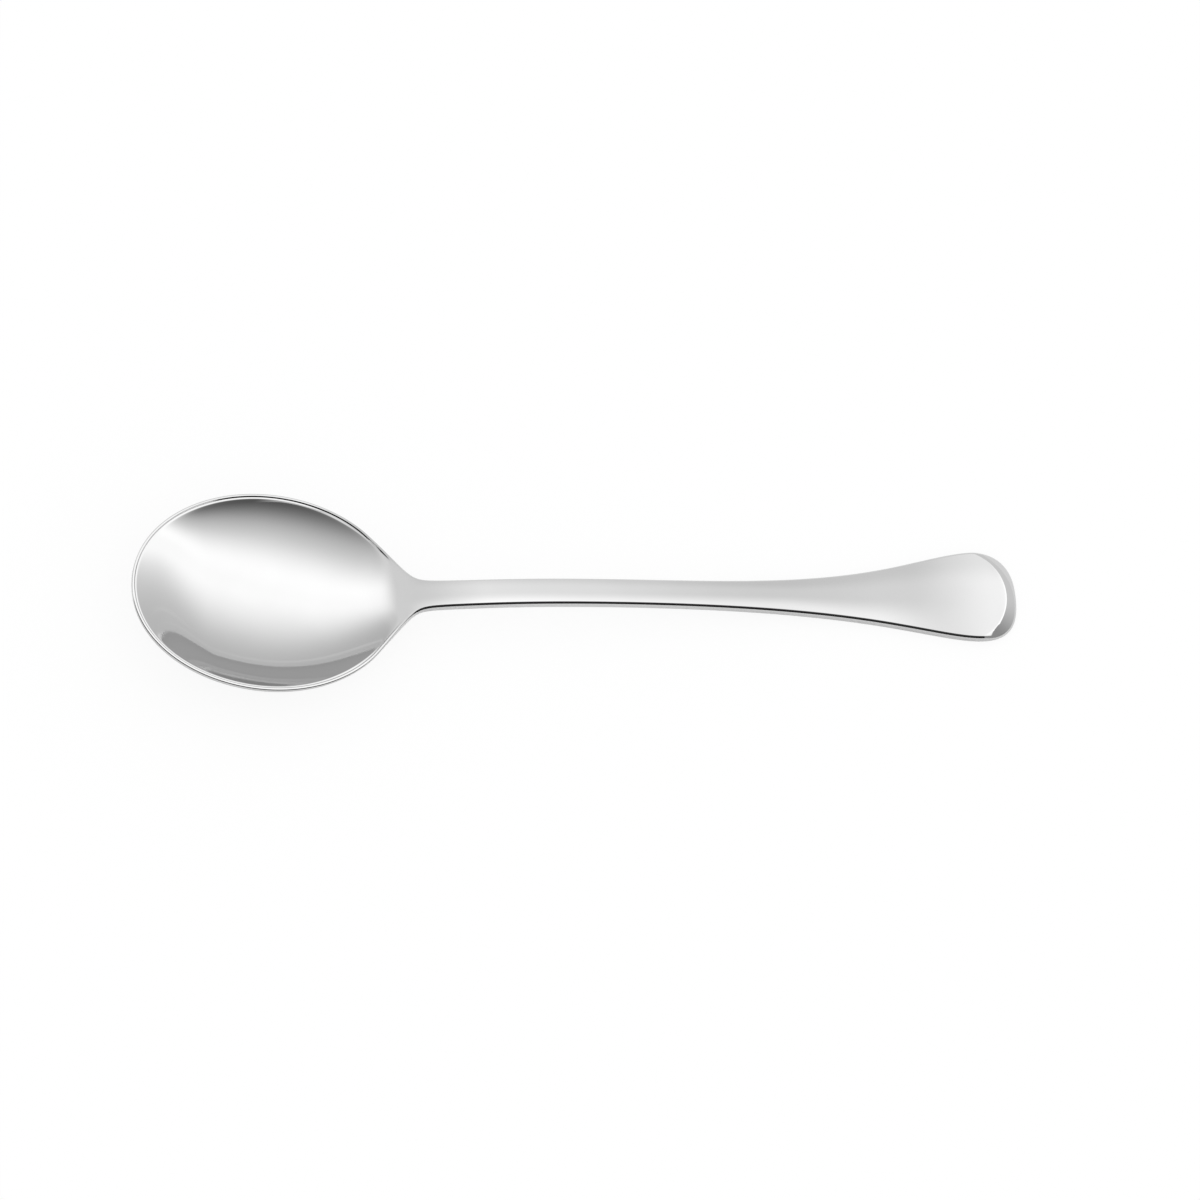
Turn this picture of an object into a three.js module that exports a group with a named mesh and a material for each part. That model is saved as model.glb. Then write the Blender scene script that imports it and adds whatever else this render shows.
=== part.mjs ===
// A serving spoon, pressed in one piece from stainless steel and polished.
// Millimetres, +Z up. The bowl points to -X and the handle to +X. The spoon lies on z = 0 as on a
// table, on the bottom of its bowl and on the flat underside of its handle end.

import * as THREE from 'three';

// Plan outline, with stations measured from the tip of the bowl
const LENGTH = 225;
const BOWL_LENGTH = 66.5;
const BOWL_WIDTH = 51.7;
const BOWL_WIDEST_AT = 33.5;
const SHOULDER_AT = 60.6;
const STEM_WIDTH = 6.6;
const NECK_BLEND = 2.45;
const NECK_BLEND_FROM = 45;
const FLARE_START = 110;
const END_WIDTH = 23.1;
const END_ROUND = 33;

// Powers of the outline's curves: 0.5 makes the tip or the shoulders elliptical, less is blunter
const TIP_POWER = 0.486;
const SHOULDER_POWER = 0.475;
const FLARE_POWER = 3.7;
const END_POWER = 2.7;

// Side view: heights of the rim and of the handle's top edge above the table
const TIP_HEIGHT = 15.75;
const TIP_FALL = 0.03;
const NECK_AT = 71;
const NECK_HEIGHT = 10.05;
const ARCH_AT = 97;
const ARCH_HEIGHT = 10.65;
const PAD_LENGTH = 28;

// Metal thickness, which grows from the rim's to the handle's between two stations
const THICKENS_FROM = 54;
const THICKENS_TO = 74;
const HANDLE_THICKNESS = 3;
const RIM_THICKNESS = 1.6;
const FLOOR_THICKNESS = 1.9;

// Hollow of the bowl: flat lip round the rim, where the hollow runs out at the neck, and how much
// steeper its wall gets towards the rim, less so at the tip
const RIM_LIP = 1.15;
const DISH_END_AT = 66.5;
const DISH_SHOULDER_POWER = 0.5;
const WALL_STEEPNESS = 0.3;
const TIP_STEEPNESS = -0.1;
const TIP_WALL_TO = 20;
const RIM_CREASE = 0.02;
const NECK_CREASE = 0.08;
const NECK_RUNOUT = 14;

// Edges, crown across the handle, and bevel round the handle end
const EDGE_RADIUS = 0.5;
const UNDER_RADIUS = 0.7;
const CROWN_SLOPE = 0.1;
const BEVEL_WIDTH = 2.3;
const BEVEL_ARC_RADIUS = 12.4;
const BEVEL_SLOPE = 0.45;
const BEVEL_CREASE = 0.15;

// Mesh: steps along and across each sheet and round each edge, and the corners of the sheets
const STEPS_ALONG = 72;
const STEPS_ACROSS = 14;
const EDGE_STEPS = 2;
const TIP_CORNER_AT = 7;
const END_CORNER_INSET = 6;
const CORNER_REACH = 0.12;

// Accuracy of the sizes that are found by search
const SEARCH_SAMPLES = 400;
const SEARCH_HALVINGS = 40;
const SLOPE_STEP = 0.0001;

const STEEL = new THREE.MeshStandardMaterial({ color: 0xd6d7d9, metalness: 1, roughness: 0.08 });

const { lerp, smoothstep, clamp } = THREE.MathUtils;

// A power that keeps the sign, so that a curve goes on below zero past its end
const signedPower = (value, power) => Math.sign(value) * Math.abs(value) ** power;

// The larger of two values, with the change-over rounded
const softMax = (a, b, softness) => (a + b + Math.hypot(a - b, softness)) / 2;

// A curve from one height to another, with a slope at its start and none at its end
function ease(share, from, to, startSlope) {
  const rest = 1 - share;
  return lerp(from, to, share * share * (3 - 2 * share)) + startSlope * share * rest * rest;
}

// Square of an egg outline's half width, as a share of its widest: 1 there and 0 at both ends
function eggShare(station, start, end, rearPower) {
  const lean = smoothstep(station, start, end);
  const reach = lerp(BOWL_WIDEST_AT - start, end - BOWL_WIDEST_AT, lean);
  const distance = (station - BOWL_WIDEST_AT) / reach;
  return signedPower(1 - distance * distance, 2 * lerp(TIP_POWER, rearPower, lean));
}

const flareLength = LENGTH - FLARE_START;
const flareShare = (station) => Math.max(0, (station - FLARE_START) / flareLength) ** FLARE_POWER;

function endRounding(station) {
  const past = clamp((station - LENGTH + END_ROUND) / END_ROUND, 0, 1);
  return (1 - past ** END_POWER) ** (1 / END_POWER);
}

// How far the flare spreads, so that the rounded end just reaches its full width
function flareSpread() {
  let spread = Infinity;
  for (let sample = 1; sample < SEARCH_SAMPLES; sample += 1) {
    const station = FLARE_START + flareLength * sample / SEARCH_SAMPLES;
    const room = END_WIDTH / 2 / endRounding(station) - STEM_WIDTH / 2;
    spread = Math.min(spread, room / flareShare(station));
  }
  return spread;
}
const endSpread = flareSpread();

const eggHalfWidth = (station) =>
  signedPower(eggShare(station, 0, BOWL_LENGTH, SHOULDER_POWER), 0.5) * BOWL_WIDTH / 2;
const shoulderRise = eggHalfWidth(SHOULDER_AT + SLOPE_STEP) - eggHalfWidth(SHOULDER_AT - SLOPE_STEP);
const shoulderSlope = shoulderRise / (2 * SLOPE_STEP);

// Half width of the spoon in plan: the bowl's egg, straight from its shoulders, blended into the handle
function halfWidth(station) {
  const pastShoulder = Math.max(0, station - SHOULDER_AT);
  const bowl = eggHalfWidth(Math.min(station, SHOULDER_AT)) + shoulderSlope * pastShoulder;
  if (station < BOWL_WIDEST_AT) {
    return bowl;
  }
  const rounding = endRounding(station);
  const handle = rounding * (STEM_WIDTH / 2 + endSpread * flareShare(station));
  const blend = NECK_BLEND * rounding * smoothstep(station, NECK_BLEND_FROM, SHOULDER_AT);
  return softMax(bowl, handle, blend);
}

// Height of the rim and of the handle's top edge: down to the neck, over the arch, down to the pad
const padStart = LENGTH - PAD_LENGTH;
function edgeHeight(station) {
  if (station < NECK_AT) {
    return ease(station / NECK_AT, TIP_HEIGHT, NECK_HEIGHT, -TIP_FALL * NECK_AT);
  }
  if (station < ARCH_AT) {
    return ease((station - NECK_AT) / (ARCH_AT - NECK_AT), NECK_HEIGHT, ARCH_HEIGHT, 0);
  }
  const fall = Math.min(1, (station - ARCH_AT) / (padStart - ARCH_AT));
  return ease(fall, ARCH_HEIGHT, HANDLE_THICKNESS, 0);
}

// Share of the handle's form in the section: 0 in the bowl, 1 past the neck
const handleShare = (station) => smoothstep(station, DISH_END_AT - NECK_RUNOUT, ARCH_AT);
const edgeThickness = (station) =>
  lerp(RIM_THICKNESS, HANDLE_THICKNESS, smoothstep(station, THICKENS_FROM, THICKENS_TO));

// Depth of a pressed hollow as a share of its deepest, from its egg's share left at a point.
// The crease at its edge is fine along the rim and fades out at the neck.
function hollowShare(station, side, halfBreadth, start, end, rearPower) {
  const left = eggShare(station, start, end, rearPower) - (side / halfBreadth) ** 2;
  const neck = smoothstep(station, end - NECK_RUNOUT, end);
  const inside = softMax(left, 0, lerp(RIM_CREASE, NECK_CREASE, neck));
  const steepness = lerp(TIP_STEEPNESS, WALL_STEEPNESS, smoothstep(station, 0, TIP_WALL_TO));
  return inside * (1 + steepness * (1 - Math.min(inside, 1)));
}
const insideShare = (station, side) =>
  hollowShare(station, side, BOWL_WIDTH / 2 - RIM_LIP, RIM_LIP, DISH_END_AT, DISH_SHOULDER_POWER);
const outsideShare = (station, side) =>
  hollowShare(station, side, BOWL_WIDTH / 2, 0, BOWL_LENGTH, SHOULDER_POWER);

// The bowl's outside is as deep as brings its lowest point onto the table
function outsideDepth() {
  let depth = Infinity;
  for (let sample = 1; sample < SEARCH_SAMPLES; sample += 1) {
    const station = BOWL_LENGTH * sample / SEARCH_SAMPLES;
    const room = edgeHeight(station) - edgeThickness(station);
    depth = Math.min(depth, room / outsideShare(station, 0));
  }
  return depth;
}
const depthOutside = outsideDepth();
const depthInside = depthOutside + RIM_THICKNESS - FLOOR_THICKNESS;

// Fall of the bevel beyond its crease, an arc that lies inside the handle end
const bevelCentreAt = LENGTH - BEVEL_WIDTH - BEVEL_ARC_RADIUS;
function bevelFall(station, side) {
  if (station < bevelCentreAt) {
    return 0;
  }
  const past = Math.hypot(station - bevelCentreAt, side) - BEVEL_ARC_RADIUS;
  return BEVEL_SLOPE * softMax(past, 0, BEVEL_CREASE);
}

function topHeight(station, side) {
  const half = halfWidth(station);
  const crown = half > 0 ? CROWN_SLOPE * (half * half - side * side) / (2 * half) : 0;
  const raised = edgeHeight(station) + handleShare(station) * crown;
  return raised - depthInside * insideShare(station, side) - bevelFall(station, side);
}

function underHeight(station, side) {
  const flat = edgeHeight(station) - edgeThickness(station);
  return flat - depthOutside * outsideShare(station, side);
}

// Station between two others at which the outline has a given half width
function stationOfWidth(half, narrow, wide) {
  let outer = narrow;
  let inner = wide;
  for (let halving = 0; halving < SEARCH_HALVINGS; halving += 1) {
    const middle = (outer + inner) / 2;
    if (halfWidth(middle) < half) {
      outer = middle;
    } else {
      inner = middle;
    }
  }
  return (outer + inner) / 2;
}

// The border of a sheet as grid places [along, across], in order round it from its near tip corner
function borderPlaces() {
  const counted = (count, place) => Array.from({ length: count }, (unused, step) => place(step));
  return [
    ...counted(STEPS_ALONG, (step) => [step, 0]),
    ...counted(STEPS_ACROSS, (step) => [STEPS_ALONG, step]),
    ...counted(STEPS_ALONG, (step) => [STEPS_ALONG - step, STEPS_ACROSS]),
    ...counted(STEPS_ACROSS, (step) => [0, STEPS_ACROSS - step]),
  ];
}
const border = borderPlaces();

// The outline's point for a border place: stations along the sides, arcs round the tip and the end
const endCornerAt = LENGTH - END_CORNER_INSET;
function outlinePoint([i, j]) {
  const across = 2 * j / STEPS_ACROSS - 1;
  if (i === 0) {
    const half = halfWidth(TIP_CORNER_AT);
    return new THREE.Vector2(stationOfWidth(Math.abs(across) * half, 0, TIP_CORNER_AT), across * half);
  }
  if (i === STEPS_ALONG) {
    const half = halfWidth(endCornerAt);
    return new THREE.Vector2(stationOfWidth(Math.abs(across) * half, LENGTH, endCornerAt), across * half);
  }
  const station = lerp(TIP_CORNER_AT, endCornerAt, i / STEPS_ALONG);
  return new THREE.Vector2(station, across * halfWidth(station));
}
const outline = border.map(outlinePoint);

// The outline moved inwards by a distance
function insetOutline(inset) {
  return outline.map((point, index) => {
    const before = outline.at(index - 1);
    const after = outline[(index + 1) % outline.length];
    const run = after.clone().sub(before).normalize();
    return new THREE.Vector2(point.x - run.y * inset, point.y + run.x * inset);
  });
}

// A sheet's points in plan: lines across from side to side, bent near the ends to fit the arcs there
function sheetPlan(rim) {
  const at = new Map(border.map((place, index) => [place.join(), rim[index]]));
  const rimPoint = (i, j) => at.get([i, j].join());
  const bend = (i, j, end, reach) => {
    const chord = rimPoint(end, 0).clone().lerp(rimPoint(end, STEPS_ACROSS), j / STEPS_ACROSS);
    return rimPoint(end, j).clone().sub(chord).multiplyScalar(Math.max(0, reach) ** 2);
  };
  const plan = [];
  for (let i = 0; i <= STEPS_ALONG; i += 1) {
    for (let j = 0; j <= STEPS_ACROSS; j += 1) {
      const along = i / STEPS_ALONG;
      const chord = rimPoint(i, 0).clone().lerp(rimPoint(i, STEPS_ACROSS), j / STEPS_ACROSS);
      chord.add(bend(i, j, 0, 1 - along / CORNER_REACH));
      chord.add(bend(i, j, STEPS_ALONG, 1 - (1 - along) / CORNER_REACH));
      plan.push(chord);
    }
  }
  return plan;
}

// Rings round the edge, from the top sheet's border over the rounded wall to the under sheet's border
function edgeRings() {
  const topRim = insetOutline(EDGE_RADIUS);
  const underRim = insetOutline(UNDER_RADIUS);
  const rings = [];
  const roundFrom = (index, share, rim, height, down) => {
    const level = height(outline[index].x, outline[index].y);
    const start = new THREE.Vector3(rim[index].x, rim[index].y, height(rim[index].x, rim[index].y));
    const corner = new THREE.Vector3(outline[index].x, outline[index].y, level);
    const end = new THREE.Vector3(outline[index].x, outline[index].y, level + down);
    return new THREE.QuadraticBezierCurve3(start, corner, end).getPoint(share);
  };
  for (let step = 0; step <= EDGE_STEPS; step += 1) {
    const share = step / EDGE_STEPS;
    rings.push(outline.map((point, index) => roundFrom(index, share, topRim, topHeight, -EDGE_RADIUS)));
  }
  for (let step = EDGE_STEPS; step > 0; step -= 1) {
    const share = step / EDGE_STEPS;
    rings.push(outline.map((point, index) => roundFrom(index, share, underRim, underHeight, UNDER_RADIUS)));
  }
  return rings;
}

// The spoon's closed skin: a top sheet, an under sheet, and the rings of the edge between them
function spoonGeometry() {
  const points = [];
  const faces = [];
  const rowLength = STEPS_ACROSS + 1;
  const addSheet = (inset, height) => {
    const first = points.length;
    sheetPlan(insetOutline(inset)).forEach(({ x, y }) => points.push(new THREE.Vector3(x, y, height(x, y))));
    return first;
  };
  const addQuad = (a, b, c, d) => faces.push(a, b, c, a, c, d);

  const top = addSheet(RIM_LIP, topHeight);
  const under = addSheet(UNDER_RADIUS, underHeight);
  for (let i = 0; i < STEPS_ALONG; i += 1) {
    for (let j = 0; j < STEPS_ACROSS; j += 1) {
      const here = i * rowLength + j;
      const next = here + rowLength;
      addQuad(top + here, top + next, top + next + 1, top + here + 1);
      addQuad(under + here, under + here + 1, under + next + 1, under + next);
    }
  }

  const sheetLoop = (first) => border.map(([i, j]) => first + i * rowLength + j);
  const loops = [sheetLoop(top)];
  edgeRings().forEach((ring) => {
    loops.push(ring.map((point) => points.push(point) - 1));
  });
  loops.push(sheetLoop(under));
  for (let ring = 0; ring + 1 < loops.length; ring += 1) {
    border.forEach((place, index) => {
      const following = (index + 1) % border.length;
      const [upper, lower] = [loops[ring], loops[ring + 1]];
      addQuad(upper[index], lower[index], lower[following], upper[following]);
    });
  }

  const geometry = new THREE.BufferGeometry().setFromPoints(points);
  geometry.setIndex(faces);
  geometry.translate(-LENGTH / 2, 0, 0);
  geometry.computeVertexNormals();
  return geometry;
}

const spoon = new THREE.Mesh(spoonGeometry(), STEEL);
spoon.name = 'spoon';

const servingSpoon = new THREE.Group();
servingSpoon.add(spoon);

export default servingSpoon;
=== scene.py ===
"""A serving spoon in mirror-polished stainless steel, dressed over its solid, in a plain white studio.

The surface is one dense skin on the solid's main sizes, with finer edges, because a mirror shows all facets.
The metal's reflections are painted on glowing sheets that only the metal sees.
Lengths in the values below are millimetres, and the scene is in metres.
"""
import math

import bmesh
import bpy
import numpy as np
from mathutils import Matrix, Quaternion, Vector


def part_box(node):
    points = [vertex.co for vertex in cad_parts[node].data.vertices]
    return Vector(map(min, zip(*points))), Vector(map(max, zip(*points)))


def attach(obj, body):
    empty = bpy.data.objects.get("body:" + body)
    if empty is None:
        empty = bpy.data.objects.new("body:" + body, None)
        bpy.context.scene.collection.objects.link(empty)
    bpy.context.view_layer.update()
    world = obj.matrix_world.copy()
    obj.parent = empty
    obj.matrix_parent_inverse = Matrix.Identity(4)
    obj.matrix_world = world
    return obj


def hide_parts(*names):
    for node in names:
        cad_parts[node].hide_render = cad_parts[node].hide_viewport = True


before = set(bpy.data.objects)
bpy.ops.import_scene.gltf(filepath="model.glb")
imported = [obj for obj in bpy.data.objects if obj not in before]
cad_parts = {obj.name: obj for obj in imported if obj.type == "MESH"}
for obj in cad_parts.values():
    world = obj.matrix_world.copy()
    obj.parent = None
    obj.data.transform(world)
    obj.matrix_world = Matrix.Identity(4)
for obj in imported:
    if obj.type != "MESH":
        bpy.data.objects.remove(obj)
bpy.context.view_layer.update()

MM = 0.001

# Plan outline, with stations measured from the tip of the bowl
low_corner, high_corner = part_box("spoon")
LENGTH = (high_corner.x - low_corner.x) / MM
BOWL_WIDTH = (high_corner.y - low_corner.y) / MM
BOWL_LENGTH = 66.5
BOWL_WIDEST_AT = 33.5
SHOULDER_AT = 60.6
STEM_WIDTH = 6.6
NECK_BLEND = 2.45
NECK_BLEND_FROM = 45.0
FLARE_START = 110.0
END_WIDTH = 23.1
END_ROUND = 33.0

# Powers of the outline's curves: 0.5 makes the tip or the shoulders elliptical, less is blunter
TIP_POWER = 0.486
SHOULDER_POWER = 0.475
FLARE_POWER = 3.7
END_POWER = 2.7

# Side view: heights of the rim and of the handle's top edge above the table
TIP_HEIGHT = 15.75
TIP_FALL = 0.03
NECK_AT = 71.0
NECK_HEIGHT = 10.05
ARCH_AT = 97.0
ARCH_HEIGHT = 10.65
PAD_LENGTH = 28.0

# Metal thickness, which grows from the rim's to the handle's between two stations
THICKENS_FROM = 54.0
THICKENS_TO = 74.0
HANDLE_THICKNESS = 3.0
RIM_THICKNESS = 1.6
FLOOR_THICKNESS = 1.9

# Hollow of the bowl: flat lip round the rim, where the hollow runs out, and how much steeper its wall gets
# towards the rim, less so at the tip. Its crease is fine at the rim and soft in the middle of the neck
RIM_LIP = 1.15
DISH_END_AT = 68.5
DISH_SHOULDER_POWER = 0.62
WALL_STEEPNESS = 0.3
TIP_STEEPNESS = -0.1
TIP_WALL_TO = 20.0
RIM_CREASE = 0.006
NECK_CREASE = 0.16
NECK_SIDES = (3.0, 14.0)
NECK_RUNOUT = 14.0

# Fine step inside the lip, which runs out before the neck
STEP_FALL = 0.36
STEP_BETWEEN = (0.56, 0.82)
STEP_RUNOUT = (61.0, 68.0)

# Edges, crown across the handle, and bevel round the handle end. Chamfers go inwards and downwards by these
RIM_CHAMFER = (0.16, 0.18)
HANDLE_CHAMFER = (0.46, 0.55)
CHAMFER_GROWS = (62.0, 70.0)
CHAMFER_POWER = 1.06
UNDER_RADIUS = 0.5
CROWN_SLOPE = 0.1
BEVEL_WIDTH = 2.9
BEVEL_ARC_RADIUS = 12.4
BEVEL_SLOPE = 0.5
BEVEL_ROUNDING = 0.03
BEVEL_CREASE = 0.14

# Skin: steps along and across each sheet and round each edge, drawn closer towards the sheets' borders. The
# rings of the lip crowd at the hollow's crease and at both edges of the step
STEPS_ALONG = 360
STEPS_ACROSS = 72
EDGE_STEPS = 8
WALL_STEPS = 2
LIP_INSETS = (
    (1.6, 1.45, 1.35, 1.28, 1.23, 1.19, 1.15, 1.11, 1.07, 1.0)
    + (0.92, 0.86, 0.83, 0.81, 0.77)
    + (0.61, 0.57, 0.55, 0.52, 0.4, 0.3)
)
ALONG_CROWDING = 0.85
ACROSS_CROWDING = 0.45
TOP_SHEET_INSET = 1.9
TIP_CORNER_AT = 7.0
END_CORNER_AT = LENGTH - 6.0
CORNER_REACH = 0.12
SEARCH_SAMPLES = 400
SEARCH_HALVINGS = 40
SLOPE_STEP = 0.0001
MERGE_DISTANCE = 0.001

# Polished steel: its greys, streaks from the wheel with the roughness they vary, and the sheet's unevenness
STEEL_GREYS = ("#cacaca", "#cecece")
STREAK_LENGTH = 14.0
STREAK_WIDTH = 0.35
STREAK_HEIGHT = 0.0002
STREAK_CONTRAST = (0.3, 0.7)
STREAK_ROUGHNESS = (0.035, 0.085)
UNEVEN_SIZE = 9.0
UNEVEN_HEIGHT = 0.006

# Camera: above the spoon and a little to its front left, far off, turned so that the spoon lies level
CAMERA_ELEVATION = 65.0
CAMERA_AZIMUTH = -30.0
CAMERA_DISTANCE = 2000.0
CAMERA_ROLL = 26.66
CAMERA_ASIDE = (6.4, 1.48)
CAMERA_SIGHT = 100000.0
LENS = 242.9
SENSOR = 36.0

# Tent of painted reflection: a tunnel of glowing sheet over the spoon, which only the metal sees, turned a
# little from its length. Its painted glow, dark at the front and bright from the top on as if lit from
# above, is given as shares of the brightest, at equal steps in degrees from its lower front edge to past its
# top, and stays level from there to the back. It also fades towards the back right
TENT_CENTRE = -75.0
TENT_RADIUS = 400.0
TENT_LENGTH = 6000.0
TENT_TURN = -20.0
TENT_STEPS = 96
TENT_GLOW = (0.0, 0.0, 0.1, 0.4, 0.55, 0.8, 0.98, 0.9)
TENT_GLOW_STEP = 15.0
TENT_BRIGHTEST = 1.75
TENT_FADE_TURN = 75.0
TENT_FADE_BETWEEN = (120.0, 430.0)
TENT_FADE_LEVELS = (1.0, 0.44)

# Glowing card held low over the handle, which only the metal sees as painted reflection, clear at the neck:
# its levels along the handle, the last a painted highlight inside the bevel's crease, how much brighter it
# is along its near side except at its end, a painted highlight by the near edge, and how much darker along
# its far side
CARD_HEIGHT = 20.0
CARD_ENDS = (-64.0, 135.0)
CARD_SIDES = (-14.0, 28.0)
CARD_CLEAR_END = (-64.0, -50.0)
CARD_ALONG = (
    (-40.0, 1.0),
    (-22.0, 1.25),
    (-4.0, 1.2),
    (55.0, 1.0),
    (88.0, 1.06),
    (113.0, 1.45),
    (122.0, 1.75),
)
CARD_MIDDLE_BETWEEN = (0.0, 65.0)
CARD_MIDDLES = (3.8, 6.7)
CARD_BREADTH_BETWEEN = (55.0, 105.0)
CARD_BREADTHS = (5.5, 12.5)
CARD_NEAR_SHARES = (-1.1, -0.1)
CARD_NEAR_LEVELS = (1.4, 1.0)
CARD_NEAR_ENDS = (80.0, 103.0)
CARD_FAR_SHARES = (0.3, 1.0)
CARD_FAR_LEVELS = (1.0, 0.88)

# Small glowing card just over the bowl's far wall, which only the metal sees, clear at both ends, with its
# levels from the bowl outwards: painted shade in the band where the near wall mirrors the far wall
RIM_CARD_HEIGHT = 14.2
RIM_CARD_ENDS = (-78.0, -57.0)
RIM_CARD_SOLID = (-70.0, -65.0)
RIM_CARD_SIDES = (17.0, 23.2)
RIM_CARD_BETWEEN = (20.5, 23.0)
RIM_CARD_LEVELS = (0.82, 0.76)

# Darker low glowing card standing past the handle's end, which only the metal sees as painted reflection in
# the bevel round the end, with its levels from its near side to its far side
END_CARD_AT = 160.0
END_CARD_SIZE = (90.0, 260.0)
END_CARD_BETWEEN = (-35.0, 15.0)
END_CARD_LEVELS = (0.4, 0.9)

# Floor, the shares of its shadow that the camera and the metal see, and the white round it
FLOOR_SIZE = 12000.0
FLOOR_WHITE = "#f9f9f9"
SHADOW_SHARE = 0.12
METAL_SHADOW_SHARE = 0.8
STUDIO_LEVEL = 1.06

# Settings that several nodes share
SMOOTH = {"interpolation_type": "SMOOTHSTEP"}
MULTIPLY = {"operation": "MULTIPLY"}


def lerp(start, end, share):
    return start + (end - start) * share


def smoothstep(value, start, end):
    share = np.clip((value - start) / (end - start), 0, 1)
    return share * share * (3 - 2 * share)


def signed_power(value, power):
    """A power that keeps the sign, so that a curve goes on below zero past its end."""
    return np.sign(value) * np.abs(value) ** power


def soft_max(first, second, softness):
    """The larger of two values, with the change-over rounded."""
    return (first + second + np.hypot(first - second, softness)) / 2


def ease(share, start, end, start_slope):
    """A curve from one height to another, with a slope at its start and none at its end."""
    return lerp(start, end, share * share * (3 - 2 * share)) + start_slope * share * (1 - share) ** 2


def egg_share(station, start, end, rear_power):
    """Square of an egg outline's half width, as a share of its widest: 1 there and 0 at both ends."""
    lean = smoothstep(station, start, end)
    reach = lerp(BOWL_WIDEST_AT - start, end - BOWL_WIDEST_AT, lean)
    distance = (station - BOWL_WIDEST_AT) / reach
    return signed_power(1 - distance * distance, 2 * lerp(TIP_POWER, rear_power, lean))


def flare_share(station):
    return np.clip((station - FLARE_START) / (LENGTH - FLARE_START), 0, None) ** FLARE_POWER


def end_rounding(station):
    past = np.clip((station - LENGTH + END_ROUND) / END_ROUND, 0, 1)
    return (1 - past**END_POWER) ** (1 / END_POWER)


def flare_spread():
    """How far the flare spreads, so that the rounded end just reaches its full width."""
    station = np.linspace(FLARE_START, LENGTH, SEARCH_SAMPLES + 1)[1:-1]
    room = END_WIDTH / 2 / end_rounding(station) - STEM_WIDTH / 2
    return np.min(room / flare_share(station))


END_SPREAD = flare_spread()


def egg_half_width(station):
    return signed_power(egg_share(station, 0, BOWL_LENGTH, SHOULDER_POWER), 0.5) * BOWL_WIDTH / 2


def slope_of(curve, station):
    return (curve(station + SLOPE_STEP) - curve(station - SLOPE_STEP)) / (2 * SLOPE_STEP)


def half_width(station):
    """Half width of the spoon in plan: an egg, straight from its shoulders, blended into the handle."""
    past_shoulder = np.maximum(station - SHOULDER_AT, 0)
    bowl = egg_half_width(np.minimum(station, SHOULDER_AT)) + SHOULDER_SLOPE * past_shoulder
    rounding = end_rounding(station)
    handle = rounding * (STEM_WIDTH / 2 + END_SPREAD * flare_share(station))
    blend = NECK_BLEND * rounding * smoothstep(station, NECK_BLEND_FROM, SHOULDER_AT)
    return np.where(station < BOWL_WIDEST_AT, bowl, soft_max(bowl, handle, blend))


SHOULDER_SLOPE = slope_of(egg_half_width, np.array(SHOULDER_AT))


def edge_height(station):
    """Height of the rim and of the handle's top edge: down to the neck, over the arch, down to the pad."""
    bowl = ease(station / NECK_AT, TIP_HEIGHT, NECK_HEIGHT, -TIP_FALL * NECK_AT)
    neck = ease((station - NECK_AT) / (ARCH_AT - NECK_AT), NECK_HEIGHT, ARCH_HEIGHT, 0)
    fall = np.clip((station - ARCH_AT) / (LENGTH - PAD_LENGTH - ARCH_AT), 0, 1)
    handle = ease(fall, ARCH_HEIGHT, HANDLE_THICKNESS, 0)
    return np.where(station < NECK_AT, bowl, np.where(station < ARCH_AT, neck, handle))


def handle_share(station):
    """Share of the handle's form in the section: 0 in the bowl, 1 past the neck."""
    return smoothstep(station, DISH_END_AT - NECK_RUNOUT, ARCH_AT)


def thick_share(station):
    return smoothstep(station, THICKENS_FROM, THICKENS_TO)


def edge_thickness(station):
    return lerp(RIM_THICKNESS, HANDLE_THICKNESS, thick_share(station))


def hollow_share(station, side, half_breadth, start, end, rear_power):
    """Depth of a pressed hollow as a share of its deepest."""
    left = egg_share(station, start, end, rear_power) - (side / half_breadth) ** 2
    neck = smoothstep(station, end - NECK_RUNOUT, end) * (1 - smoothstep(np.abs(side), *NECK_SIDES))
    crease = lerp(RIM_CREASE, NECK_CREASE, neck)
    inside = soft_max(left, 0, crease)
    steepness = lerp(TIP_STEEPNESS, WALL_STEEPNESS, smoothstep(station, 0, TIP_WALL_TO))
    return inside * (1 + steepness * (1 - np.minimum(inside, 1)))


def inside_share(station, side):
    half_breadth = BOWL_WIDTH / 2 - RIM_LIP
    return hollow_share(station, side, half_breadth, RIM_LIP, DISH_END_AT, DISH_SHOULDER_POWER)


def outside_share(station, side):
    return hollow_share(station, side, BOWL_WIDTH / 2, 0, BOWL_LENGTH, SHOULDER_POWER)


def outside_depth():
    """The bowl's outside is as deep as brings its lowest point onto the table."""
    station = np.linspace(0, BOWL_LENGTH, SEARCH_SAMPLES + 1)[1:-1]
    return np.min((edge_height(station) - edge_thickness(station)) / outside_share(station, 0))


DEPTH_OUTSIDE = outside_depth()
DEPTH_INSIDE = DEPTH_OUTSIDE + RIM_THICKNESS - FLOOR_THICKNESS


def bevel_fall(station, side):
    """Fall of the bevel beyond its crease, an arc that lies inside the handle end."""
    centre_at = LENGTH - BEVEL_WIDTH - BEVEL_ARC_RADIUS
    past = np.hypot(station - centre_at, side) - BEVEL_ARC_RADIUS
    past = soft_max(past, 0, BEVEL_CREASE)
    return np.where(station < centre_at, 0, past * (BEVEL_SLOPE + BEVEL_ROUNDING * past))


def top_height(station, side):
    half = np.maximum(half_width(station), SLOPE_STEP)
    crown = handle_share(station) * CROWN_SLOPE * (half - side * side / half) / 2
    hollow = DEPTH_INSIDE * inside_share(station, side)
    return edge_height(station) + crown - hollow - bevel_fall(station, side)


def under_height(station, side):
    return edge_height(station) - edge_thickness(station) - DEPTH_OUTSIDE * outside_share(station, side)


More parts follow.
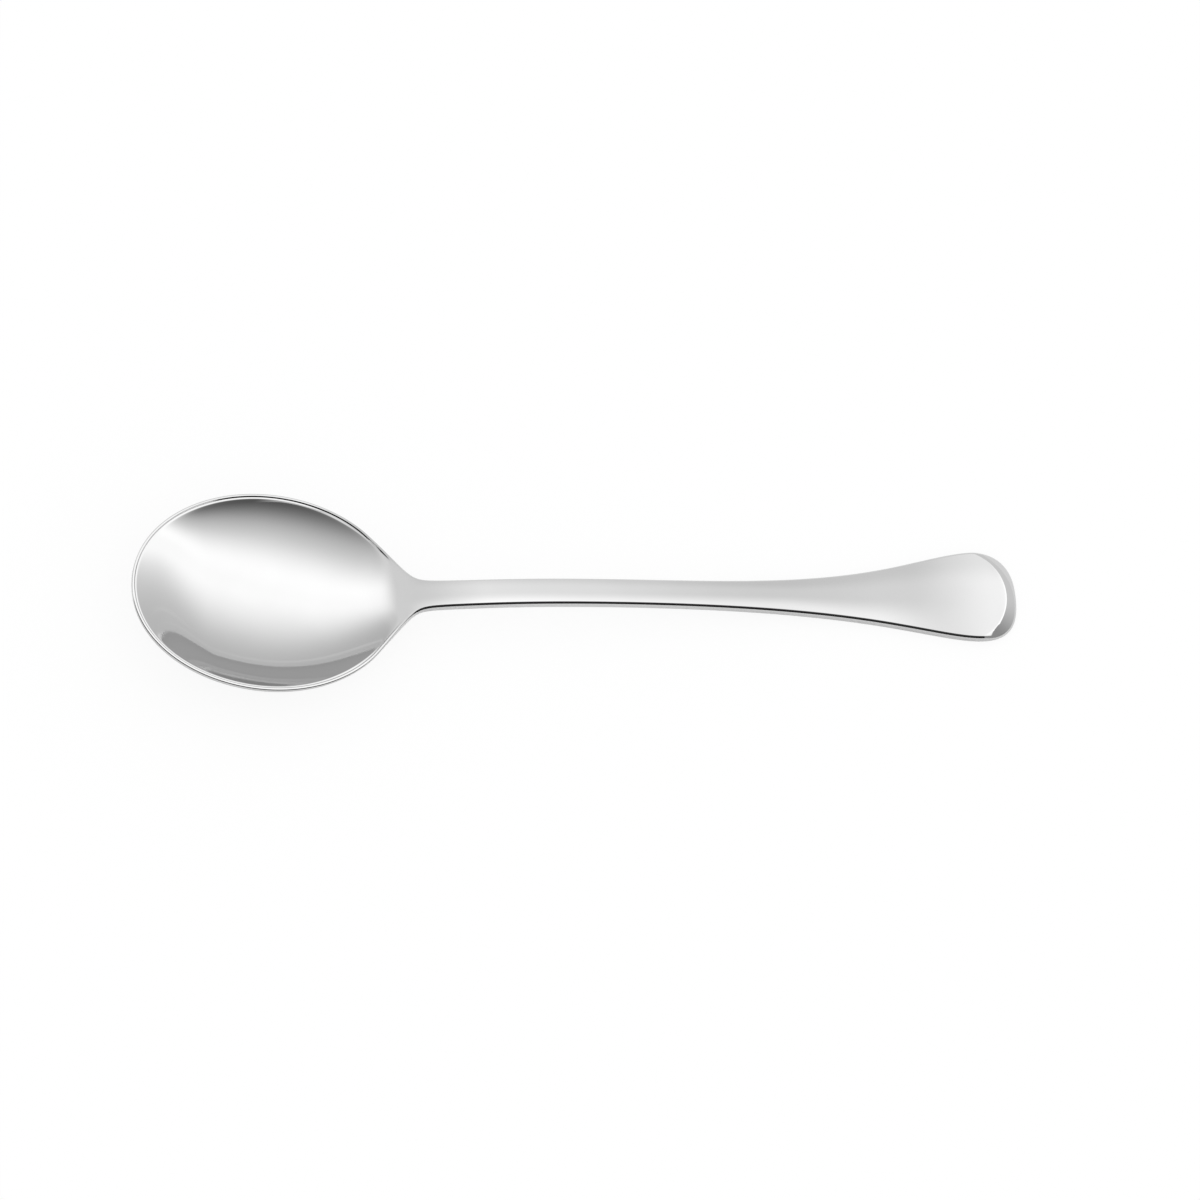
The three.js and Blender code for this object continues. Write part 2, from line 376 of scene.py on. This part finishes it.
def station_of_width(half, narrow, wide):
    """Station between two others at which the outline has a given half width."""
    outer = np.full_like(half, narrow)
    inner = np.full_like(half, wide)
    for _ in range(SEARCH_HALVINGS):
        middle = (outer + inner) / 2
        narrower = half_width(middle) < half
        outer = np.where(narrower, middle, outer)
        inner = np.where(narrower, inner, middle)
    return (outer + inner) / 2


def edge_point(station, side, inset):
    """Plan point of the outline on one side (1 far, -1 near), moved inwards by a distance."""
    slope = slope_of(half_width, station)
    steepness = np.hypot(slope, 1)
    return station + inset * slope / steepness, side * (half_width(station) - inset / steepness)


def crowded_along(share):
    return share - ALONG_CROWDING * np.sin(2 * np.pi * share) / (2 * np.pi)


def crowded_across(share):
    return share * (1 + ACROSS_CROWDING * (1 - share * share))


def outline_place(along, across):
    """Station and side of the outline for a place on a sheet's border, along a side or round an end."""
    station = lerp(TIP_CORNER_AT, END_CORNER_AT, along)
    tip = station_of_width(np.abs(across) * half_width(np.array(TIP_CORNER_AT)), 0.0, TIP_CORNER_AT)
    end = station_of_width(np.abs(across) * half_width(np.array(END_CORNER_AT)), LENGTH, END_CORNER_AT)
    return np.where(along <= 0, tip, np.where(along >= 1, end, station)), np.sign(across)


def sheet_plan(along, across, inset):
    """Plan points of a sheet: lines from side to side, bent near the ends to fit the arcs there."""
    station = lerp(TIP_CORNER_AT, END_CORNER_AT, along)
    x, half = edge_point(station, 1, inset)
    y = across * half
    for end, reach in ((0.0, 1 - along / CORNER_REACH), (1.0, 1 - (1 - along) / CORNER_REACH)):
        weight = np.clip(reach, 0, None) ** 2
        arc_x, arc_y = edge_point(*outline_place(np.full_like(across, end), across), inset)
        corner_x, corner_half = edge_point(np.array(lerp(TIP_CORNER_AT, END_CORNER_AT, end)), 1, inset)
        x = x + weight * (arc_x - corner_x)
        y = y + weight * (arc_y - across * corner_half)
    return x, y


def place_vertices(vertices, x, y, z):
    for vertex, point in zip(vertices, np.stack([x - LENGTH / 2, y, z], 1) * MM):
        vertex.co = point


def sheet(mesh, inset, height):
    """A grid laid over the spoon's plan and lifted to a height, with its vertices' places in the grid."""
    grid = bmesh.ops.create_grid(mesh, x_segments=STEPS_ALONG, y_segments=STEPS_ACROSS, size=1)
    vertices = grid["verts"]
    places = np.array([vertex.co.xy for vertex in vertices])
    along = crowded_along((np.clip(places[:, 0], -1, 1) + 1) / 2)
    across = crowded_across(np.clip(places[:, 1], -1, 1))
    x, y = sheet_plan(along, across, inset)
    place_vertices(vertices, x, y, height(x, y))
    return vertices, along, across


def step_fall(station, inset):
    """Fall of the fine step inside the lip, at a distance from the outline."""
    fade = 1 - smoothstep(station, *STEP_RUNOUT)
    start, end = STEP_BETWEEN
    return STEP_FALL * fade * np.clip((inset - start) / (end - start), 0, 1)


def dressed_top(x, y):
    return top_height(x, y) - step_fall(x, RIM_LIP)


def edge_rings(station, side):
    """Rings round the edge, from the top sheet over the lip and the chamfered wall to the under sheet."""
    growth = smoothstep(station, *CHAMFER_GROWS)
    inwards, downwards = (lerp(*ends, growth) for ends in zip(RIM_CHAMFER, HANDLE_CHAMFER))
    edge_x, edge_y = edge_point(station, side, 0)
    top = top_height(*edge_point(station, side, inwards))
    under = under_height(edge_x, edge_y)
    rings = []
    for rim_inset in LIP_INSETS:
        share = (rim_inset - RIM_CHAMFER[0]) / (TOP_SHEET_INSET - RIM_CHAMFER[0])
        x, y = edge_point(station, side, lerp(inwards, TOP_SHEET_INSET, share))
        rings.append((x, y, top_height(x, y) - step_fall(x, rim_inset)))
    for turn in np.linspace(0, np.pi / 2, EDGE_STEPS + 1):
        x, y = edge_point(station, side, inwards * (1 - np.sin(turn) ** (2 / CHAMFER_POWER)))
        rings.append((x, y, top - downwards * (1 - np.cos(turn) ** (2 / CHAMFER_POWER))))
    for share in np.linspace(0, 1, WALL_STEPS + 1)[1:-1]:
        rings.append((edge_x, edge_y, lerp(top - downwards, under + UNDER_RADIUS, share)))
    for turn in np.linspace(0, np.pi / 2, EDGE_STEPS + 1):
        x, y = edge_point(station, side, UNDER_RADIUS * (1 - np.cos(turn)))
        end = np.sin(turn)
        rings.append((x, y, lerp(under, under_height(x, y), end) + UNDER_RADIUS * (1 - end)))
    return rings


def sort_faces(mesh):
    """Puts the faces in the order of their vertices, because drawn-out faces come in no set order."""
    mesh.verts.index_update()
    ordered = sorted(mesh.faces, key=lambda face: sorted(vertex.index for vertex in face.verts))
    for index, face in enumerate(ordered):
        face.index = index
    mesh.faces.sort()


def spoon_skin():
    """The spoon's closed skin: a top and an under sheet, and the rings of the edge drawn out between."""
    mesh = bmesh.new()
    order = mesh.verts.layers.int.new("border_order")
    vertices, along, across = sheet(mesh, TOP_SHEET_INSET, dressed_top)
    border = [index for index, vertex in enumerate(vertices) if vertex.is_boundary]
    for count, index in enumerate(border):
        vertices[index][order] = count
    rings = edge_rings(*outline_place(along[border], across[border]))
    edges = [edge for edge in mesh.edges if edge.is_boundary]
    under_vertices, _, _ = sheet(mesh, UNDER_RADIUS, under_height)
    for ring in rings:
        drawn = bmesh.ops.extrude_edge_only(mesh, edges=edges)["geom"]
        edges = [part for part in drawn if isinstance(part, bmesh.types.BMEdge)]
        new_vertices = [part for part in drawn if isinstance(part, bmesh.types.BMVert)]
        places = [vertex[order] for vertex in new_vertices]
        place_vertices(new_vertices, *(values[places] for values in ring))
    seam = new_vertices + [vertex for vertex in under_vertices if vertex.is_boundary]
    bmesh.ops.remove_doubles(mesh, verts=seam, dist=MERGE_DISTANCE * MM)
    mesh.verts.layers.int.remove(order)
    bmesh.ops.recalc_face_normals(mesh, faces=mesh.faces)
    sort_faces(mesh)
    for face in mesh.faces:
        face.smooth = True
    return mesh


def make_object(name, mesh, material):
    data = bpy.data.meshes.new(name)
    mesh.to_mesh(data)
    mesh.free()
    data.materials.append(material)
    made = bpy.data.objects.new(name, data)
    bpy.context.scene.collection.objects.link(made)
    return made


def linear(hex_colour):
    """Linear colour of an sRGB hex value."""
    channels = [int(hex_colour[start : start + 2], 16) / 255 for start in (1, 3, 5)]
    curve = [value / 12.92 if value <= 0.04045 else ((value + 0.055) / 1.055) ** 2.4 for value in channels]
    return (*curve, 1.0)


def add_node(tree, kind, settings=None, inputs=None, links=None):
    """One node with its settings, its input values, and links from other nodes or their sockets."""
    node = tree.nodes.new(kind)
    for name, value in (settings or {}).items():
        setattr(node, name, value)
    for name, value in (inputs or {}).items():
        node.inputs[name].default_value = value
    for name, source in (links or {}).items():
        socket = source.outputs[0] if isinstance(source, bpy.types.Node) else source
        tree.links.new(socket, node.inputs[name])
    return node


def span(between, levels=(0.0, 1.0)):
    """Input values for a change from one level to another between two values."""
    return dict(zip(("From Min", "From Max", "To Min", "To Max"), (*between, *levels)))


def in_metres(lengths):
    return [length * MM for length in lengths]


def new_material(name):
    material = bpy.data.materials.new(name)
    material.use_nodes = True
    material.node_tree.nodes.clear()
    return material, material.node_tree


def mirror_polished_stainless():
    """Stainless steel, pressed and polished on a soft wheel: a clear mirror, a little grey.

    The wheel leaves faint streaks along the spoon that blur the mirror more and less, and the sheet keeps
    a slight unevenness from rolling and pressing. Real streaks are a few hundredths of a millimetre wide,
    too fine to show, so they are drawn at STREAK_WIDTH.
    """
    material, tree = new_material("mirror_polished_stainless")
    place = add_node(tree, "ShaderNodeTexCoord").outputs["Object"]
    along = add_node(
        tree,
        "ShaderNodeMapping",
        inputs={"Scale": [1 / size for size in in_metres((STREAK_LENGTH, STREAK_WIDTH, STREAK_WIDTH))]},
        links={"Vector": place},
    )
    streaks = add_node(
        tree,
        "ShaderNodeTexNoise",
        inputs={"Scale": 1.0, "Detail": 2.0},
        links={"Vector": along},
    )
    clouds = add_node(
        tree,
        "ShaderNodeTexNoise",
        inputs={"Scale": 1 / (UNEVEN_SIZE * MM), "Detail": 1.0},
        links={"Vector": place},
    )
    colour = add_node(
        tree,
        "ShaderNodeMix",
        {"data_type": "RGBA"},
        {6: linear(STEEL_GREYS[0]), 7: linear(STEEL_GREYS[1])},
        {0: clouds},
    )
    roughness = add_node(
        tree,
        "ShaderNodeMapRange",
        inputs=span(STREAK_CONTRAST, STREAK_ROUGHNESS),
        links={"Value": streaks},
    )
    waves = add_node(
        tree,
        "ShaderNodeBump",
        inputs={"Strength": 1.0, "Distance": UNEVEN_HEIGHT * MM},
        links={"Height": clouds},
    )
    hairlines = add_node(
        tree,
        "ShaderNodeBump",
        inputs={"Strength": 1.0, "Distance": STREAK_HEIGHT * MM},
        links={"Height": streaks, "Normal": waves},
    )
    shader = add_node(
        tree,
        "ShaderNodeBsdfPrincipled",
        inputs={"Metallic": 1.0},
        links={"Base Color": colour.outputs[2], "Roughness": roughness, "Normal": hairlines},
    )
    add_node(tree, "ShaderNodeOutputMaterial", links={"Surface": shader})
    return material


def make_camera():
    elevation = math.radians(CAMERA_ELEVATION)
    azimuth = math.radians(CAMERA_AZIMUTH)
    back = Vector((
        math.sin(azimuth) * math.cos(elevation),
        -math.cos(azimuth) * math.cos(elevation),
        math.sin(elevation),
    ))
    data = bpy.data.cameras.new("camera")
    data.lens = LENS
    data.sensor_width = SENSOR
    data.clip_end = CAMERA_SIGHT * MM
    camera = bpy.data.objects.new("camera", data)
    camera.rotation_mode = "QUATERNION"
    turn = back.to_track_quat("Z", "Y") @ Quaternion((0, 0, 1), math.radians(CAMERA_ROLL))
    camera.rotation_quaternion = turn
    camera.location = (back * CAMERA_DISTANCE + turn @ Vector((*CAMERA_ASIDE, 0))) * MM
    bpy.context.scene.collection.objects.link(camera)
    bpy.context.scene.camera = camera


def seen_rays(tree):
    """1 for the rays that show a surface, straight or in metal or glass, and 0 for those that light it."""
    ray = add_node(tree, "ShaderNodeLightPath")
    seen = ray.outputs["Is Camera Ray"]
    for kind in ("Is Glossy Ray", "Is Transmission Ray"):
        either = {0: seen, 1: ray.outputs[kind]}
        seen = add_node(tree, "ShaderNodeMath", {"operation": "MAXIMUM"}, links=either)
    return seen


def matt_white_floor():
    """White laminate with a dead matt face: no gloss, and nearly all light comes back.

    To the camera it is partly plain white, so the shadow on it stays faint.
    """
    material, tree = new_material("matt_white_floor")
    face = add_node(
        tree,
        "ShaderNodeBsdfPrincipled",
        inputs={"Base Color": linear(FLOOR_WHITE), "Roughness": 1.0, "Specular IOR Level": 0.0},
    )
    white = add_node(tree, "ShaderNodeEmission")
    to_camera = add_node(tree, "ShaderNodeLightPath").outputs["Is Camera Ray"]
    shown = add_node(
        tree,
        "ShaderNodeMapRange",
        inputs=span((0.0, 1.0), (1 - METAL_SHADOW_SHARE, 1 - SHADOW_SHARE)),
        links={"Value": to_camera},
    )
    share = add_node(tree, "ShaderNodeMath", MULTIPLY, links={0: seen_rays(tree), 1: shown})
    shader = add_node(tree, "ShaderNodeMixShader", links={0: share, 1: face, 2: white})
    add_node(tree, "ShaderNodeOutputMaterial", links={"Surface": shader})
    return material


def turned_place(tree, turn):
    """Place on a glowing sheet of painted reflection, from the middle of the bowl and turned by an angle in
    plan.
    """
    place = add_node(tree, "ShaderNodeTexCoord")
    turned = add_node(
        tree,
        "ShaderNodeMapping",
        {"vector_type": "TEXTURE"},
        {"Location": (TENT_CENTRE * MM, 0, 0), "Rotation": (0, 0, math.radians(turn))},
        {"Vector": place.outputs["Object"]},
    )
    return add_node(tree, "ShaderNodeSeparateXYZ", links={"Vector": turned}).outputs


def plain_place(tree):
    """Place on a glowing sheet of painted reflection, in the spoon's own frame."""
    place = add_node(tree, "ShaderNodeTexCoord")
    return add_node(tree, "ShaderNodeSeparateXYZ", links={"Vector": place.outputs["Object"]}).outputs


def tent_painted_glow():
    """Glowing sheet with painted light: dark at the front, bright from the top on, as if lit from above; the
    metal shows it as painted reflection.
    """
    material, tree = new_material("tent_painted_glow")
    place = turned_place(tree, TENT_TURN)
    sides = {0: place["Y"], 1: place["Z"]}
    angle = add_node(tree, "ShaderNodeMath", {"operation": "ARCTAN2"}, links=sides)
    reach = math.radians(TENT_GLOW_STEP * (len(TENT_GLOW) - 1))
    share = add_node(
        tree,
        "ShaderNodeMapRange",
        inputs=span((-math.pi / 2, reach - math.pi / 2)),
        links={"Value": angle},
    )
    glow = add_node(tree, "ShaderNodeValToRGB", links={"Fac": share})
    glow.color_ramp.interpolation = "B_SPLINE"
    stops = glow.color_ramp.elements
    stops.remove(stops[-1])
    for index, level in enumerate(TENT_GLOW):
        along_ramp = index / (len(TENT_GLOW) - 1)
        stop = stops[0] if index == 0 else stops.new(along_ramp)
        stop.position = along_ramp
        stop.color = (level, level, level, 1)
    fade = add_node(
        tree,
        "ShaderNodeMapRange",
        SMOOTH,
        span(in_metres(TENT_FADE_BETWEEN), [level * TENT_BRIGHTEST for level in TENT_FADE_LEVELS]),
        {"Value": turned_place(tree, TENT_FADE_TURN)["X"]},
    )
    light = add_node(tree, "ShaderNodeEmission", links={"Color": glow, "Strength": fade})
    add_node(tree, "ShaderNodeOutputMaterial", links={"Surface": light})
    return material


def painted_handle_reflection():
    """Pale glowing card of painted reflection, a little uneven in its levels, that clears at the neck."""
    material, tree = new_material("painted_handle_reflection")
    place = plain_place(tree)
    middle = add_node(
        tree,
        "ShaderNodeMapRange",
        SMOOTH,
        span(in_metres(CARD_MIDDLE_BETWEEN), in_metres(CARD_MIDDLES)),
        {"Value": place["X"]},
    )
    breadth = add_node(
        tree,
        "ShaderNodeMapRange",
        SMOOTH,
        span(in_metres(CARD_BREADTH_BETWEEN), in_metres(CARD_BREADTHS)),
        {"Value": place["X"]},
    )
    aside = add_node(tree, "ShaderNodeMath", {"operation": "SUBTRACT"}, links={0: place["Y"], 1: middle})
    across = add_node(tree, "ShaderNodeMath", {"operation": "DIVIDE"}, links={0: aside, 1: breadth})
    brighter = add_node(
        tree,
        "ShaderNodeMapRange",
        SMOOTH,
        span(CARD_NEAR_SHARES, CARD_NEAR_LEVELS),
        {"Value": across},
    )
    at_end = add_node(
        tree,
        "ShaderNodeMapRange",
        SMOOTH,
        span(in_metres(CARD_NEAR_ENDS)),
        {"Value": place["X"]},
    )
    near = add_node(tree, "ShaderNodeMix", inputs={3: 1.0}, links={0: at_end, 2: brighter})
    far = add_node(
        tree,
        "ShaderNodeMapRange",
        SMOOTH,
        span(CARD_FAR_SHARES, CARD_FAR_LEVELS),
        {"Value": across},
    )
    level = add_node(tree, "ShaderNodeMath", MULTIPLY, links={0: near, 1: far})
    for (start, start_level), (end, end_level) in zip(CARD_ALONG, CARD_ALONG[1:]):
        change = add_node(
            tree,
            "ShaderNodeMapRange",
            SMOOTH,
            span(in_metres((start, end)), (1.0, end_level / start_level)),
            {"Value": place["X"]},
        )
        level = add_node(tree, "ShaderNodeMath", MULTIPLY, links={0: level, 1: change})
    light = add_node(tree, "ShaderNodeEmission", links={"Strength": level})
    clear = add_node(tree, "ShaderNodeBsdfTransparent")
    solid = add_node(
        tree,
        "ShaderNodeMapRange",
        SMOOTH,
        span(in_metres(CARD_CLEAR_END)),
        {"Value": place["X"]},
    )
    shader = add_node(tree, "ShaderNodeMixShader", links={0: solid, 1: clear, 2: light})
    add_node(tree, "ShaderNodeOutputMaterial", links={"Surface": shader})
    return material


def painted_rim_reflection():
    """Glowing card of painted shade in the metal's reflections, whose level falls off towards the rim, and
    which clears towards its ends.
    """
    material, tree = new_material("painted_rim_reflection")
    place = plain_place(tree)
    level = add_node(
        tree,
        "ShaderNodeMapRange",
        SMOOTH,
        span(in_metres(RIM_CARD_BETWEEN), RIM_CARD_LEVELS),
        {"Value": place["Y"]},
    )
    light = add_node(tree, "ShaderNodeEmission", links={"Strength": level})
    start = add_node(
        tree,
        "ShaderNodeMapRange",
        SMOOTH,
        span(in_metres((RIM_CARD_ENDS[0], RIM_CARD_SOLID[0]))),
        {"Value": place["X"]},
    )
    end = add_node(
        tree,
        "ShaderNodeMapRange",
        SMOOTH,
        span(in_metres((RIM_CARD_SOLID[1], RIM_CARD_ENDS[1])), (1.0, 0.0)),
        {"Value": place["X"]},
    )
    solid = add_node(tree, "ShaderNodeMath", MULTIPLY, links={0: start, 1: end})
    clear = add_node(tree, "ShaderNodeBsdfTransparent")
    shader = add_node(tree, "ShaderNodeMixShader", links={0: solid, 1: clear, 2: light})
    add_node(tree, "ShaderNodeOutputMaterial", links={"Surface": shader})
    return material


def painted_end_reflection():
    """Glowing card of painted reflection that is darker at the near side."""
    material, tree = new_material("painted_end_reflection")
    level = add_node(
        tree,
        "ShaderNodeMapRange",
        SMOOTH,
        span(in_metres(END_CARD_BETWEEN), END_CARD_LEVELS),
        {"Value": plain_place(tree)["Y"]},
    )
    light = add_node(tree, "ShaderNodeEmission", links={"Strength": level})
    add_node(tree, "ShaderNodeOutputMaterial", links={"Surface": light})
    return material


def flat_sheet(length, breadth):
    """A level sheet round the origin."""
    mesh = bmesh.new()
    bmesh.ops.create_grid(mesh, x_segments=1, y_segments=1, size=MM / 2)
    bmesh.ops.scale(mesh, vec=(length, breadth, 1), verts=mesh.verts)
    return mesh


def make_floor():
    return make_object("floor", flat_sheet(FLOOR_SIZE, FLOOR_SIZE), matt_white_floor())


def reflections_only(thing):
    """The glowing sheets of painted reflection show in the metal and nowhere else."""
    thing.visible_camera = False
    thing.visible_diffuse = False
    thing.visible_shadow = False
    return thing


def make_tent():
    mesh = bmesh.new()
    ends = [mesh.verts.new((end * TENT_LENGTH / 2 * MM, -TENT_RADIUS * MM, 0)) for end in (-1, 1)]
    edge = mesh.edges.new(ends)
    bmesh.ops.spin(
        mesh,
        geom=ends + [edge],
        cent=(0, 0, 0),
        axis=(1, 0, 0),
        angle=-math.pi,
        steps=TENT_STEPS,
        use_merge=False,
    )
    turn = Matrix.Rotation(math.radians(TENT_TURN), 3, "Z")
    bmesh.ops.rotate(mesh, cent=(0, 0, 0), matrix=turn, verts=mesh.verts)
    bmesh.ops.translate(mesh, vec=(TENT_CENTRE * MM, 0, 0), verts=mesh.verts)
    return reflections_only(make_object("painted_reflection_tent", mesh, tent_painted_glow()))


def make_low_card(name, ends, sides, height, material):
    """A level card that spans two places along the spoon and two across it."""
    mesh = flat_sheet(ends[1] - ends[0], sides[1] - sides[0])
    middle = Vector((sum(ends) / 2, sum(sides) / 2, height)) * MM
    bmesh.ops.translate(mesh, vec=middle, verts=mesh.verts)
    return reflections_only(make_object(name, mesh, material))


def make_end_card():
    mesh = flat_sheet(*END_CARD_SIZE)
    upright = Matrix.Rotation(math.pi / 2, 3, "Y")
    bmesh.ops.rotate(mesh, cent=(0, 0, 0), matrix=upright, verts=mesh.verts)
    bmesh.ops.translate(mesh, vec=(END_CARD_AT * MM, 0, 0), verts=mesh.verts)
    return reflections_only(make_object("end_card", mesh, painted_end_reflection()))


def make_world():
    """Plain white surroundings, which the camera and the metal see at white."""
    world = bpy.data.worlds.new("studio")
    bpy.context.scene.world = world
    world.use_nodes = True
    tree = world.node_tree
    tree.nodes.clear()
    level = add_node(
        tree,
        "ShaderNodeMapRange",
        inputs=span((0.0, 1.0), (STUDIO_LEVEL, 1.0)),
        links={"Value": seen_rays(tree)},
    )
    white = {"Color": (1, 1, 1, 1)}
    light = add_node(tree, "ShaderNodeBackground", inputs=white, links={"Strength": level})
    add_node(tree, "ShaderNodeOutputWorld", links={"Surface": light})


make_camera()
spoon = make_object("polished_spoon", spoon_skin(), mirror_polished_stainless())
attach(spoon, "root")
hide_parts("spoon")

make_floor()
# Tunnel of glowing sheet whose painted glow the metal shows as painted reflection
make_tent()
# Card of painted reflection over the handle, with painted highlights by its near edge and inside the bevel's
# crease
make_low_card("handle_card", CARD_ENDS, CARD_SIDES, CARD_HEIGHT, painted_handle_reflection())
# Card of painted shade in the band where the near wall mirrors the far wall
make_low_card("rim_card", RIM_CARD_ENDS, RIM_CARD_SIDES, RIM_CARD_HEIGHT, painted_rim_reflection())
# Card of painted reflection in the bevel round the handle's end
make_end_card()
make_world()
bpy.context.scene.view_settings.view_transform = "Standard"
